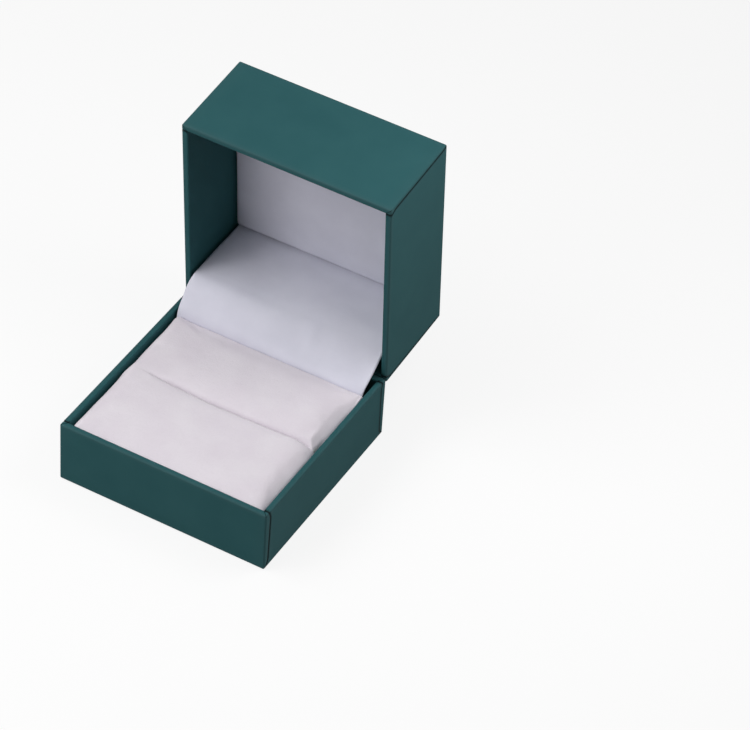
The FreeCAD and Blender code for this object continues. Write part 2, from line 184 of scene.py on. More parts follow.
def seen_directly(tree):
    """One for camera, mirror and glass rays, and nought for rays that carry light."""
    ray = tree.nodes.new("ShaderNodeLightPath")
    seen = ray.outputs["Is Camera Ray"]
    for kind in ("Is Glossy Ray", "Is Transmission Ray"):
        either = tree.nodes.new("ShaderNodeMath")
        either.operation = "MAXIMUM"
        tree.links.new(seen, either.inputs[0])
        tree.links.new(ray.outputs[kind], either.inputs[1])
        seen = either.outputs[0]
    return seen


world = bpy.data.worlds.new("surround")
scene.world = world
world.use_nodes = True
tree = world.node_tree
surround = tree.nodes["Background"]
surround.inputs["Color"].default_value = (1.0, 1.0, 1.0, 1.0)
strength = tree.nodes.new("ShaderNodeMapRange")
strength.inputs["To Min"].default_value = surround_to_light
strength.inputs["To Max"].default_value = surround_to_camera
tree.links.new(seen_directly(tree), strength.inputs["Value"])
tree.links.new(strength.outputs["Result"], surround.inputs["Strength"])

# %% [markdown]
# A finish is a small tree of nodes. The helpers below keep each finish short: one makes
# an empty material with its shader, one adds a node and sets its values, and one adds
# cloudy noise in the piece's own coordinates, so a pattern stays put when a piece moves.
# A mix node's two colours and its result are found by their places in its lists.

# %% Helpers for finishes
first_colour, second_colour, mixed_colour = 6, 7, 2


def set_sockets(node, values):
    """Set a node's input sockets by name, where an underscore stands for a space."""
    for socket, value in values.items():
        node.inputs[socket.replace("_", " ")].default_value = value


def new_finish(name, colour, roughness, **values):
    """A material with one surface shader, and the shader to plug patterns into."""
    material = bpy.data.materials.new(name)
    material.use_nodes = True
    shader = material.node_tree.nodes["Principled BSDF"]
    set_sockets(shader, {"Base_Color": (*colour, 1.0), "Roughness": roughness, **values})
    return material, shader


def add_node(material, kind, **values):
    """One node of a kind, with its input sockets set."""
    made = material.node_tree.nodes.new(kind)
    set_sockets(made, values)
    return made


def plug(material, source, target):
    """Join an output socket to an input socket."""
    material.node_tree.links.new(source, target)


def cloud(material, grain, detail=2.0, stretch=(1.0, 1.0, 1.0)):
    """Noise whose blobs are about one grain across, in millimetres, in object space."""
    place = add_node(material, "ShaderNodeTexCoord")
    scaled = add_node(material, "ShaderNodeMapping", Scale=stretch)
    noise = add_node(material, "ShaderNodeTexNoise", Scale=1.0 / (grain * mm), Detail=detail)
    plug(material, place.outputs["Object"], scaled.inputs["Vector"])
    plug(material, scaled.outputs["Vector"], noise.inputs["Vector"])
    return noise.outputs["Fac"]


def ramp(material, source, low, high, from_value=0.3, to_value=0.7):
    """A colour that runs from low to high as a value goes between two limits."""
    made = add_node(material, "ShaderNodeValToRGB")
    made.color_ramp.elements[0].position = from_value
    made.color_ramp.elements[0].color = (*low, 1.0)
    made.color_ramp.elements[1].position = to_value
    made.color_ramp.elements[1].color = (*high, 1.0)
    plug(material, source, made.inputs["Fac"])
    return made.outputs["Color"]


def tint(material, base, over, share):
    """Mix a second colour over a first by a share that a pattern gives."""
    made = material.node_tree.nodes.new("ShaderNodeMix")
    made.data_type = "RGBA"
    plug(material, share, made.inputs["Factor"])
    plug(material, base, made.inputs[first_colour])
    made.inputs[second_colour].default_value = (*over, 1.0)
    return made.outputs[mixed_colour]


def relief(material, shader, source, depth, below=None):
    """Bump of a depth in millimetres, laid over an earlier bump where there is one."""
    made = add_node(material, "ShaderNodeBump", Strength=1.0, Distance=depth * mm)
    plug(material, source, made.inputs["Height"])
    if below is not None:
        plug(material, below, made.inputs["Normal"])
    plug(material, made.outputs["Normal"], shader.inputs["Normal"])
    return made.outputs["Normal"]


# %% [markdown]
# The floor gets the first finish. To the camera it is nearly white and keeps only a faint
# shadow of the box. To the light it is grey, so that it doesn't throw the box's own
# shade away, as a white sheet close by would. It lies a hair below the box, because two
# faces in one plane would flicker.

# %% Floor
floor_half = 2500.0
floor_level = -0.03
glow_share = 0.85
floor_mesh = bpy.data.meshes.new("floor")
corners = np.array([[-1, -1, 0], [1, -1, 0], [1, 1, 0], [-1, 1, 0]], float) * floor_half * mm
corners[:, 2] = floor_level * mm
floor_mesh.from_pydata(corners.tolist(), [], [(0, 1, 2, 3)])
floor = bpy.data.objects.new("floor", floor_mesh)
scene.collection.objects.link(floor)


def floor_finish():
    """Grey to the light, and white with a faint shadow to the camera and in reflections."""
    material = bpy.data.materials.new("pale_floor")
    material.use_nodes = True
    nodes = material.node_tree.nodes
    nodes.remove(nodes["Principled BSDF"])
    bounce = add_node(material, "ShaderNodeBsdfDiffuse", Color=(0.5, 0.5, 0.5, 1.0))
    lit = add_node(material, "ShaderNodeBsdfDiffuse", Color=(0.95, 0.95, 0.95, 1.0))
    glow = add_node(material, "ShaderNodeEmission", Color=(1.0, 1.0, 1.0, 1.0), Strength=1.0)
    pale = nodes.new("ShaderNodeMixShader")
    pale.inputs[0].default_value = glow_share
    plug(material, lit.outputs[0], pale.inputs[1])
    plug(material, glow.outputs[0], pale.inputs[2])
    choice = nodes.new("ShaderNodeMixShader")
    plug(material, seen_directly(material.node_tree), choice.inputs[0])
    plug(material, bounce.outputs[0], choice.inputs[1])
    plug(material, pale.outputs[0], choice.inputs[2])
    plug(material, choice.outputs[0], nodes["Material Output"].inputs["Surface"])
    return material


floor_mesh.materials.append(floor_finish())

# %% [markdown]
# Wrapping paper: a deep teal with a faint mottle, a dry matt surface and a fine dimpled
# grain. Where it bends over a board edge it is painted a little paler, partly as rubbed
# wear and partly as a painted highlight. In the seams and mitres it is painted dark, as
# painted shade in their grooves. Both are painted on the mesh as numbers, because they
# follow the shape.

# %% Teal paper


def attribute(material, name):
    """Read a number that the mesh carries at its points."""
    made = material.node_tree.nodes.new("ShaderNodeAttribute")
    made.attribute_name = name
    return made.outputs["Fac"]


teal, teal_shader = new_finish(
    "teal_paper", (0.023, 0.092, 0.1), 0.7, Specular_IOR_Level=0.1
)
mottle = ramp(teal, cloud(teal, 9.0, 4.0), (0.0215, 0.087, 0.0955), (0.0255, 0.0965, 0.1045))
# Paler along the bends: partly rubbed wear and partly a painted highlight on the rounded edges.
worn_and_lit = tint(teal, mottle, (0.06, 0.11, 0.117), attribute(teal, "worn_and_lit"))
# Near black in the seams and mitres: painted shade for their narrow grooves.
seam_shaded = tint(teal, worn_and_lit, (0.0008, 0.005, 0.006), attribute(teal, "seam"))
plug(teal, seam_shaded, teal_shader.inputs["Base Color"])
grain = relief(teal, teal_shader, cloud(teal, 0.42, 3.0), 0.008)
relief(teal, teal_shader, cloud(teal, 2.6, 2.0), 0.012, grain)

# %% [markdown]
# A tray is wrapped from one sheet, and its surface is a profile carried round the plan.
# The profile runs up the outer wall, over the rounded rim, down the inner wall to where
# the paper is turned in, and back behind itself, so the sheet has its real thickness.
# The plan is a rounded rectangle. A profile point that lies deep inside a corner lands
# on the corner's mitre, which is where the real paper is folded.

# %% Profile of a wrapped tray
edge_round = 0.36
corner_round = 0.38
hold = 0.15
bend_points, wall_points, rim_points, inner_points = 7, 26, 4, 8


def tray_profile(height, turn_in, closed_reach):
    """Inset and height of the profile's points, and how far each faces out or up.

    Quarter circles join straight runs. A point near each circle's end holds the flat
    beside it flat. The two facing shares are the sides of the circle's own slope, and
    are nought where nothing is ever pressed in.
    """
    angle = np.linspace(0, math.pi / 2, bend_points)
    sine, cosine = np.sin(angle), np.cos(angle)
    low, tall = edge_round + hold, height - edge_round
    far_round = wall - edge_round
    up_wall = np.linspace(low, tall - hold, wall_points)
    over_rim = np.linspace(low, far_round - hold, rim_points)
    down_inside = np.linspace(tall - hold, height - turn_in, inner_points)
    runs = [
        (np.array([closed_reach, low]), np.zeros(2), 0, 0),
        (edge_round - edge_round * sine, edge_round - edge_round * cosine, sine, 0),
        (np.zeros(wall_points), up_wall, 1, 0),
        (edge_round - edge_round * cosine, tall + edge_round * sine, cosine, sine),
        (over_rim, np.full(rim_points, height), 0, 1),
        (far_round + edge_round * sine, tall + edge_round * cosine, 0, cosine),
        (np.full(inner_points, wall), down_inside, 0, 0),
        (
            np.array([wall - paper, wall - paper, paper, paper, closed_reach]),
            np.array([height - turn_in, height - paper, height - paper, paper, paper]),
            0,
            0,
        ),
    ]
    return [np.concatenate([run[k] + 0 * run[0] for run in runs]) for k in range(4)]


# %% [markdown]
# Beside each upright corner the front or rear panel's paper wraps a short way on to the
# side wall, and the side panel's paper is glued over it and ends in a cut line. That
# line is a narrow groove with a slightly raised lip. Near the rim it bends towards the
# corner, crosses the rim and ends in the inner corner. The mitre of the turned-in flaps
# lies beside it, and between the two the folded paper stands up as a small lump.
# Stations of the plan follow both lines, so they are real geometry and also show on the
# bare mesh.

# %% Stations round the plan
front_stations, side_plain_stations = 19, 17
seam_room = 3.6
seam_bend = 1.9
curl_rise, curl_share = 2.4, 0.8
seam_offsets = np.array([-0.5, -0.23, -0.12, 0.12, 0.23, 0.7])
wall_sinks = np.array([0.0, 0.03, 0.085, 0.085, -0.04, 0.0])
rim_sinks = np.array([-0.05, -0.02, 0.085, 0.085, 0.0, 0.0])
mitre_half = 0.26
mitre_sink = 0.09
corner_turns = (0, 20, 38, 45, 52, 70, 90)


def smooth_share(value, start, stop):
    """Nought before the start and one after the stop, with a smooth rise between."""
    share = np.clip((value - start) / (stop - start), 0, 1)
    return share * share * (3 - 2 * share)


def seam_line(rise, height, rim_inset, closed_inset):
    """Distance of a seam from its corner.

    It grows evenly towards the rim, bends in to a wall's thickness in the last part, and
    curls in towards the corner at the foot.
    """
    even = closed_inset + (rim_inset - closed_inset) * rise / height
    bent = even + (wall - even) * smooth_share(rise, height - seam_bend, height - 0.2)
    return bent - curl_share * closed_inset * np.clip(1 - rise / curl_rise, 0, 1) ** 2


def side_stations(near, far, inset, seam):
    """Places along a side wall, from near to far, and how deep each is sunk on the wall
    and on the rim.

    Next to each corner come six stations that follow the seam, then evenly spaced ones.
    Where the profile is deep inside the corner the stations are pushed along, always in
    order, so that nothing folds over.
    """
    reach = np.maximum(corner_round, inset + mitre_half)
    low, high = near + reach, far - reach
    places = [low + 0.05]
    for number, offset in enumerate(seam_offsets):
        places.append(np.maximum(near + seam + offset, low + 0.07 + 0.02 * number))
    start = np.maximum(low + 0.9, near + seam_room)
    stop = np.minimum(high - 0.9, far - seam_room)
    shares = np.linspace(0, 1, side_plain_stations)
    even = [start + (stop - start) * share for share in shares]
    mirrored = [near + far - place for place in places[::-1]]
    flat = [0.0] * len(even)
    on_wall = [0.0, *wall_sinks]
    on_rim = [0.0, *rim_sinks]
    return (
        places + even + mirrored,
        on_wall + flat + on_wall[::-1],
        on_rim + flat + on_rim[::-1],
    )


def tray_rows(near, far, profile, seam_sizes, height):
    """Every station's profile, as an array of stations by profile points by 3.

    Round a corner a shallow point follows an arc. A deep one follows the two walls to
    the sharp inner corner and back, and a blend of the two joins them.
    """
    inset, rise, facing_out, facing_up = profile
    seam = seam_line(rise, height, *seam_sizes)
    facing_out = facing_out * np.clip((rise - 0.2) / 0.4, 0, 1)
    reach = np.maximum(corner_round, inset + mitre_half)
    round_here = np.maximum(corner_round - inset, mitre_half)
    deep = np.clip((inset - corner_round + mitre_half) / mitre_half, 0, 1)
    rows = []

    def station(x, y, drop=0.0):
        rows.append(np.stack([x + 0 * inset, y + 0 * inset, rise - drop], axis=-1))

    def corner(side, end, edge, first):
        """Seven stations round one corner, from one wall's direction to the next.

        A deep point goes in along one wall until half the turn and back along the other.
        """
        sharp_x = side * (half_width - inset)
        sharp_y = edge - end * inset
        from_x = abs(math.cos(math.radians(first)))
        from_y = abs(math.sin(math.radians(first)))
        for turn in corner_turns:
            before, after = max(45 - turn, 0), max(turn - 45, 0)
            angle = math.radians(first + turn)
            arc_x = sharp_x - side * round_here + round_here * math.cos(angle)
            arc_y = sharp_y - end * round_here + round_here * math.sin(angle)
            back_x = from_x * after + from_y * before
            back_y = from_y * after + from_x * before
            leg_x = sharp_x - side * mitre_half * back_x / 45
            leg_y = sharp_y - end * mitre_half * back_y / 45
            drop = mitre_sink * facing_up * (turn == 45)
            station(arc_x + (leg_x - arc_x) * deep, arc_y + (leg_y - arc_y) * deep, drop)

    def side_wall(side, stations):
        """The stations of one side wall, pressed in where the seam runs."""
        for place, on_wall, on_rim in stations:
            pressed = side * (half_width - inset - on_wall * facing_out)
            station(pressed, place, on_rim * facing_up)

    shares = np.linspace(0, 1, front_stations)[:, None]
    across = -half_width + reach + 0.1 + (2 * (half_width - reach) - 0.2) * shares
    along = list(zip(*side_stations(near, far, inset, seam)))
    for x in across:
        station(x, near + inset)
    corner(1, -1, near, -90)
    side_wall(1, along)
    corner(1, 1, far, 0)
    for x in across[::-1]:
        station(x, far - inset)
    corner(-1, 1, far, 90)
    side_wall(-1, along[::-1])
    corner(-1, -1, near, 180)
    return np.array(rows)


# %% [markdown]
# Every surface here is a grid of points, with quads between neighbours. A grid joins up
# where its first row or column is repeated at the end. The stations of a tray do so. On
# the base the profile does too, because its paper only turns in under the floor. On the
# lid the sheet covers the whole top, so two flat faces fill the middle, one on each side
# of the paper.

# %% Turn a grid into a mesh


def grid_index(rows, columns, rows_join=False, columns_join=False):
    """The numbers of a grid's points, with the first repeated at the end where it joins."""
    index = np.arange(rows * columns).reshape(rows, columns)
    if rows_join:
        index = np.vstack([index, index[:1]])
    if columns_join:
        index = np.hstack([index, index[:, :1]])
    return index


def quads_between(index):
    """One quad for each square of neighbouring point numbers."""
    corners = [index[:-1, :-1], index[1:, :-1], index[1:, 1:], index[:-1, 1:]]
    return np.stack(corners, axis=-1).reshape(-1, 4)


def face_outwards(piece):
    """Turn a closed mesh's faces over if its volume comes out below nought."""
    shell = bmesh.new()
    shell.from_mesh(piece.data)
    if shell.calc_volume(signed=True) < 0:
        piece.data.flip_normals()
    shell.free()


def make_mesh(name, points, faces):
    """A smooth-shaded object from points in millimetres and faces."""
    mesh = bpy.data.meshes.new(name)
    mesh.from_pydata((np.asarray(points) * mm).tolist(), [], faces)
    mesh.shade_smooth()
    piece = bpy.data.objects.new(name, mesh)
    scene.collection.objects.link(piece)
    return piece


def mesh_points(piece):
    """A mesh's points in millimetres."""
    flat = np.empty(len(piece.data.vertices) * 3)
    piece.data.vertices.foreach_get("co", flat)
    return flat.reshape(-1, 3) / mm


def set_points(piece, points):
    """Put points back into a mesh, in metres."""
    piece.data.vertices.foreach_set("co", (np.asarray(points) * mm).ravel())
    piece.data.update()


def settle(piece):
    """Turn what the modifiers show into the mesh itself."""
    view = bpy.context.evaluated_depsgraph_get()
    shown = bpy.data.meshes.new_from_object(piece.evaluated_get(view))
    piece.modifiers.clear()
    piece.data = shown


def cut_notch(piece, low, high):
    """Cut a plain block out of a closed mesh."""
    points = np.array([[x, y, z] for x in (0, 1) for y in (0, 1) for z in (0, 1)], float)
    points = np.array(low) + points * (np.array(high) - np.array(low))
    faces = [(0, 1, 3, 2), (4, 6, 7, 5), (0, 4, 5, 1), (2, 3, 7, 6), (0, 2, 6, 4), (1, 5, 7, 3)]
    block = make_mesh("notch", points, faces)
    face_outwards(block)
    cut = piece.modifiers.new("notch", "BOOLEAN")
    cut.operation = "DIFFERENCE"
    cut.solver = "EXACT"
    cut.object = block
    settle(piece)
    bpy.data.objects.remove(block)


def near_value(distance, reach):
    """One where a distance is nought, falling smoothly to nought at a reach."""
    return smooth_share(1 - np.abs(distance) / reach, 0, 1)


def write_value(piece, name, values):
    """Store one number a point on the mesh."""
    layer = piece.data.attributes.new(name, "FLOAT", "POINT")
    layer.data.foreach_set("value", np.asarray(values, np.float32))


# %% [markdown]
# Each wrap is built shut and upright. The notches where the hinge knuckles sit are cut
# next. Then the pale edges, partly rubbed wear and partly painted highlight, and the
# painted shade in the seams and mitres are worked out from each point's distance to the
# nearest bend or seam, and only then is the lid's wrap turned open.

# %% Wrap both trays
notch_half = 13.7
knuckle_room = 1.25
# Reaches and strengths of the pale edges, which are partly rubbed wear and partly painted highlight.
wear_and_light_reach, rim_wear_and_light_reach = 0.8, 0.9
edge_wear_and_light, rim_wear_and_light = 0.2, 0.35
# Reach and strength of the painted shade in the seams and mitres.
seam_shade_reach, mitre_shade_reach = 0.4, 0.2
seam_shade_paint, mitre_shade_paint = 1.4, 0.9
sharp_angle = math.radians(50)


def wrap_tray(name, near, far, closed, rim, turn_in, closed_reach, window, seam_sizes, notch):
    """One tray's paper, from its profile, its seams and its notch.

    Near and far are its ends along the depth, and closed and rim the heights of its
    floor and its open edge. The paper goes down inside the rim by turn_in, and in under
    the floor by closed_reach, where a window is left or the sheet goes on across. The
    seams' sizes are their distances from the corner at the rim and at the floor.
    """
    height = abs(rim - closed)
    up_sign = 1 if rim > closed else -1
    profile = tray_profile(height, turn_in, closed_reach)
    rows = tray_rows(near, far, profile, seam_sizes, height)
    rows[..., 2] = closed + up_sign * rows[..., 2]
    stations, count = rows.shape[:2]
    faces = quads_between(grid_index(stations, count, True, columns_join=window)).tolist()
    if not window:
        faces.append([station * count for station in range(stations)][::-1])
        faces.append([station * count + count - 1 for station in range(stations)])
    piece = make_mesh(name, rows.reshape(-1, 3), faces)
    face_outwards(piece)
    cut_notch(piece, *notch)
    points = mesh_points(piece)
    rise = up_sign * (points[:, 2] - closed)
    side_gap = half_width - np.abs(points[:, 0])
    end_gap = np.minimum(points[:, 1] - near, far - points[:, 1])
    upright_edge = np.hypot(np.clip(side_gap, 0, None), np.clip(end_gap, 0, None))
    outer_rim = np.hypot(height - rise, np.minimum(side_gap, end_gap))
    closed_edge = np.hypot(rise, np.minimum(side_gap, end_gap))
    # Pale edges by distance to each bend: partly rubbed wear, partly painted highlight.
    worn_and_lit = near_value(upright_edge, wear_and_light_reach) * edge_wear_and_light
    worn_and_lit += near_value(outer_rim, rim_wear_and_light_reach) * rim_wear_and_light
    worn_and_lit += near_value(closed_edge, wear_and_light_reach) * edge_wear_and_light
    line = seam_line(rise, height, *seam_sizes)
    line = np.maximum(line, (side_gap + mitre_half + 0.12) * (side_gap > 0.2))
    outside = (rise > 0.2) & (side_gap < wall - 0.05) & (side_gap < end_gap)
    outside &= (side_gap < 0.2) | (rise > height - 0.4)
    # Painted shade in the seam grooves and along the rim mitres, stored as the seam number.
    seam = near_value(end_gap - line, seam_shade_reach) * outside
    mitre_shade = near_value(side_gap - end_gap, mitre_shade_reach)
    mitre_shade = mitre_shade * (rise > height - 0.3) * (side_gap > 0.05)
    write_value(piece, "worn_and_lit", np.clip(worn_and_lit, 0, 1))
    write_value(piece, "seam", np.clip(seam_shade_paint * seam + mitre_shade_paint * mitre_shade, 0, 1))
    piece.data.materials.append(teal)
    return piece


base_notch = (
    (-notch_half, half_depth - wall - 1, base_height - knuckle_room),
    (notch_half, half_depth + 1, base_height + 1),
)
lid_notch = (
    (-notch_half, lid_rear - wall - 1, lid_rim - 1),
    (notch_half, lid_rear + 1, base_height + knuckle_room),
)
base_paper = wrap_tray(
    "base_paper", near=-half_depth, far=half_depth, closed=paper, rim=base_height,
    turn_in=12.0, closed_reach=8.0, window=True, seam_sizes=(2.0, 1.5), notch=base_notch,
)
lid_paper = wrap_tray(
    "lid_paper", near=-half_depth, far=lid_rear, closed=lid_top, rim=lid_rim,
    turn_in=22.0, closed_reach=8.0, window=False, seam_sizes=(0.85, 0.5), notch=lid_notch,
)
set_points(lid_paper, opened(mesh_points(lid_paper)))
for piece, body, node in ((base_paper, "base", "base_wrap"), (lid_paper, "lid", "lid_wrap")):
    piece.data.set_sharp_from_angle(angle=sharp_angle)
    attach(piece, body)
    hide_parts(node)
    print(piece.name, "faces", len(piece.data.polygons))

# %% [markdown]
# Velvet is a short upright pile. It has no clear highlight, goes paler where it is seen
# edge on, and is never quite even, because the pile leans in patches. Sheen gives the
# pale edge, slow noise the patches, and fine noise the fuzz.

# %% White velvet
velvet, velvet_shader = new_finish(
    "white_velvet", (0.75, 0.7, 0.755), 0.95, Specular_IOR_Level=0.1,
    Sheen_Weight=0.35, Sheen_Roughness=0.5, Sheen_Tint=(1.0, 0.97, 0.99, 1.0),
)
pile = ramp(velvet, cloud(velvet, 9.0, 3.0), (0.73, 0.675, 0.735), (0.775, 0.73, 0.78))
fluff = ramp(velvet, cloud(velvet, 0.5, 4.0), (0, 0, 0), (0.16, 0.16, 0.16), 0.45, 0.75)
fleck = tint(velvet, pile, (0.64, 0.6, 0.645), fluff)
plug(velvet, fleck, velvet_shader.inputs["Base Color"])
fuzz = relief(velvet, velvet_shader, cloud(velvet, 0.28, 4.0), 0.05)
relief(velvet, velvet_shader, cloud(velvet, 1.5, 3.0), 0.05, fuzz)

# %% [markdown]
# The cushion is two foam blocks under one velvet cover, which is tucked into the slit
# between them. A cloth simulation lets each block swell, and a clean grid is then
# dropped on to the two swollen tops, because simulation needs even faces and would lose
# a slit this narrow.

# %% Simulated padding
grow = 10.0
cloth_frames = 20
plan_rows, plan_columns = 73, 41


def fall(distance, reach, drop):
    """How far a rounded edge lies below the crown: a quarter ellipse of reach and drop."""
    share = np.clip(1 - distance / reach, 0, 1)
    return drop * (1 - np.sqrt(1 - share ** 2))


def bell(*shares):
    """A bell: e to the power of minus the sum of the shares' squares."""
    return np.exp(-sum(share ** 2 for share in shares))


def closed_block(name, x, y, top, foot):
    """A closed mesh between a grid of top heights and a flat foot below the same grid."""
    upper = np.stack([x, y, top], axis=-1)
    lower = np.stack([x, y, np.full_like(top, foot)], axis=-1)
    index = grid_index(*top.shape)
    quads = quads_between(index)
    below = quads[:, ::-1] + top.size
    ring = np.concatenate([index[:-1, 0], index[-1, :-1], index[:0:-1, -1], index[0, :0:-1]])
    after = np.roll(ring, -1)
    sides = np.stack([ring, ring + top.size, after + top.size, after], -1)
    points = np.concatenate([upper.reshape(-1, 3), lower.reshape(-1, 3)])
    piece = make_mesh(name, points, np.concatenate([quads, below, sides]).tolist())
    face_outwards(piece)
    return piece


def plan_grid(near, far, half):
    """Plan places over a rectangle, crowded towards its edges, and their shares from -1
    to 1 of its half width and half depth."""
    u, v = np.meshgrid(
        np.sin(np.linspace(-math.pi / 2, math.pi / 2, plan_rows)),
        np.sin(np.linspace(-math.pi / 2, math.pi / 2, plan_columns)),
        indexing="ij",
    )
    return u * half, (near + far) / 2 + v * (far - near) / 2, u, v


def swell(piece, voxel, pressure, cap):
    """Let a closed pad swell as cloth under pressure, by no more than a cap.

    It is simulated ten times as large, where the solver's usual values hold.
    """
    set_points(piece, mesh_points(piece) * grow)
    remesh = piece.modifiers.new("even", "REMESH")
    remesh.mode = "VOXEL"
    remesh.voxel_size = voxel * grow * mm
    settle(piece)
    before = mesh_points(piece)
    cloth = piece.modifiers.new("cover", "CLOTH")
    settings = cloth.settings
    settings.quality = 5
    settings.use_pressure = True
    settings.uniform_pressure_force = pressure
    settings.effector_weights.gravity = 0
    cloth.point_cache.frame_start = 1
    cloth.point_cache.frame_end = cloth_frames
    for number in range(1, cloth_frames + 1):
        scene.frame_set(number)
    settle(piece)
    scene.frame_set(1)
    moved = mesh_points(piece) - before
    size = np.linalg.norm(moved, axis=1, keepdims=True)
    moved *= np.minimum(1, cap * grow / np.maximum(size, 1e-9))
    before = before + moved
    set_points(piece, before / grow)


def lattice_noise(points, size, seed):
    """Smooth noise from -1 to 1: random values on a lattice, blended between its nodes."""
    values = np.random.default_rng(seed).uniform(-1, 1, (64, 64, 64))
    scaled = np.asarray(points) / size
    cell = np.floor(scaled).astype(int)
    share = smooth_share(scaled - cell, 0, 1)
    total = np.zeros(len(scaled))
    for step in np.ndindex(2, 2, 2):
        weight = np.prod(np.where(step, share, 1 - share), axis=1)
        x, y, z = ((cell + step) % 64).T
        total += weight * values[x, y, z]
    return total


def finer(piece):
    """Subdivide once, the same in view and render, and make it part of the mesh."""
    smooth = piece.modifiers.new("finer", "SUBSURF")
    smooth.levels = 1
    smooth.render_levels = 1
    settle(piece)
    piece.data.shade_smooth()


# %% [markdown]
# Each block starts as a box with a low crown. It is a little wider than the tray and goes
# a little past the slit, so that the cover's grid never falls past its edge.

# %% Swollen blocks
card_thick = 0.8
card_top = wall + card_thick
slit_y = -half_depth + wall + 22.55
pads_rear = half_depth - 7.2
cushion_front = -half_depth + wall + 0.05
cushion_rear = pads_rear + 0.05
cushion_half = inner_half - 0.12
edge_level = base_height - 0.15
crown = 0.5
block_margin = 0.5
past_slit = 3.0


def swollen_block(name, near, far):
    """One foam block, swollen as cloth, whose top is a crown: one less the fourth power
    across, times one less the square along."""
    x, y, u, v = plan_grid(near, far, cushion_half + block_margin)
    top = edge_level + crown * (1 - u ** 4) * (1 - v ** 2)
    block = closed_block(name, x, y, top, card_top)
    swell(block, voxel=0.62, pressure=4.0, cap=0.4)
    return block


def dropped(piece, x, y):
    """The height of a piece's top under every point of a plan grid, found by loose points
    that are shrink-wrapped straight down from above."""
    above = np.stack([x, y, np.full_like(x, base_height + 10)], axis=-1).reshape(-1, 3)
    sheet = make_mesh("dropped", above, [])
    wrap = sheet.modifiers.new("drop", "SHRINKWRAP")
    wrap.target = piece
    wrap.wrap_method = "PROJECT"
    wrap.use_project_z = True
    wrap.use_negative_direction = True
    wrap.use_positive_direction = False
    settle(sheet)
    heights = mesh_points(sheet)[:, 2].reshape(x.shape)
    bpy.data.objects.remove(sheet)
    return heights


front_block = swollen_block("front_block", cushion_front - block_margin, slit_y + past_slit)
rear_block = swollen_block("rear_block", slit_y - past_slit, cushion_rear + block_margin)
print("block faces", len(front_block.data.polygons), len(rear_block.data.polygons))

# %% [markdown]
# The cover's plan has rows that run from side to side. They crowd towards the edges and
# the slit, and a few rows go down one wall of the slit and up the other. The front half
# bulges over the foam's own gap, so the slit shows about a millimetre behind it, on a
# line that isn't quite straight. The slit is shut at its left end, where the velvet
# bridges it, and a small pucker of cloth beside it rests on the wall.

# %% Plan of the cover
slit_depth = 6.0


def crowded(count):
    """Shares from 0 to 1 that crowd towards both ends, as a cosine does."""
    return (1 - np.cos(np.linspace(0, math.pi, count))) / 2


across = 2 * crowded(91) - 1
opening = smooth_share(across * cushion_half, -20.5, -12)
slit_line = slit_y - 0.25 * np.sin(across * cushion_half * 0.16 + 1.3)
slit_line += 0.45 * smooth_share(across * cushion_half, 17, 24)
half_gap = 0.02 + 0.05 * opening
front_lip, rear_lip = slit_line - half_gap, slit_line + half_gap

front_rows = cushion_front + (front_lip[:, None] - cushion_front) * crowded(54)
rear_rows = rear_lip[:, None] + (cushion_rear - rear_lip[:, None]) * crowded(58)
wall_share = np.array([0.04, 0.1, 0.5, 0.9, 0.96])
wall_depth = np.array([0.4, 0.85, 1.0, 0.85, 0.4])
slit_rows = front_lip[:, None] + 2 * half_gap[:, None] * wall_share
y = np.concatenate([front_rows, slit_rows, rear_rows], axis=1)

pucker = bell((y - slit_y + 1.85) / 1.7)
left_edge = cushion_half - 0.5 - 0.05 * np.sin(y * 0.5 + 1.0) + 0.05 * pucker
right_edge = cushion_half - 0.15
x = (right_edge - left_edge) / 2 + across[:, None] * (right_edge + left_edge) / 2
print("cover's plan", x.shape)

# %% [markdown]
# The plan's heights come from the block under each half. Where the slit is shut, the two
# halves are evened out to meet.

# %% Heights from the blocks
inside = 0.6
even_reach = 4

front_side = y <= slit_line[:, None]
inside_x = np.clip(x, inside - cushion_half, cushion_half - inside)
inside_y = np.clip(y, cushion_front + inside, cushion_rear - inside)
front_top = dropped(front_block, inside_x, inside_y)
top = np.where(front_side, front_top, dropped(rear_block, inside_x, inside_y))
for block in (front_block, rear_block):
    bpy.data.objects.remove(block)

front_gap = np.maximum(front_lip[:, None] - y, 0)
rear_gap = np.maximum(y - rear_lip[:, None], 0)
first, last = front_rows.shape[1], front_rows.shape[1] + slit_rows.shape[1]
step = (top[:, last] - top[:, first - 1])[:, None] / 2
to_front, to_rear = step * bell(front_gap / even_reach), -step * bell(rear_gap / even_reach)
top += (1 - opening[:, None]) * np.where(front_side, to_front, to_rear)
print("heights up to", round(float(top.max()), 2))

# %% [markdown]
# The cover then gets its own forms, as heights taken off. Every edge falls by a quarter
# ellipse of a reach and a drop: tight at the front and left walls, and slack at the right
# end, where it is wider behind the slit and fades out at the rear. The ends of both
# halves dip beside the slit. The rear half also leans down into it, and the cloth goes
# down between the two lips.

# %% Forms of the cover
front_fall, rear_fall = (0.8, 0.35), (0.9, 0.35)
left_fall = (1.5, 1.6)
right_reach, right_drop = 4.5, 2.1
front_lip_fall, rear_lip_fall = (1.5, 1.0), (1.8, 1.6)
lean_reach, lean_drop = 6.5, 1.0
dip_reach, dip_depth = 3.5, 0.9
shut_share = 0.03

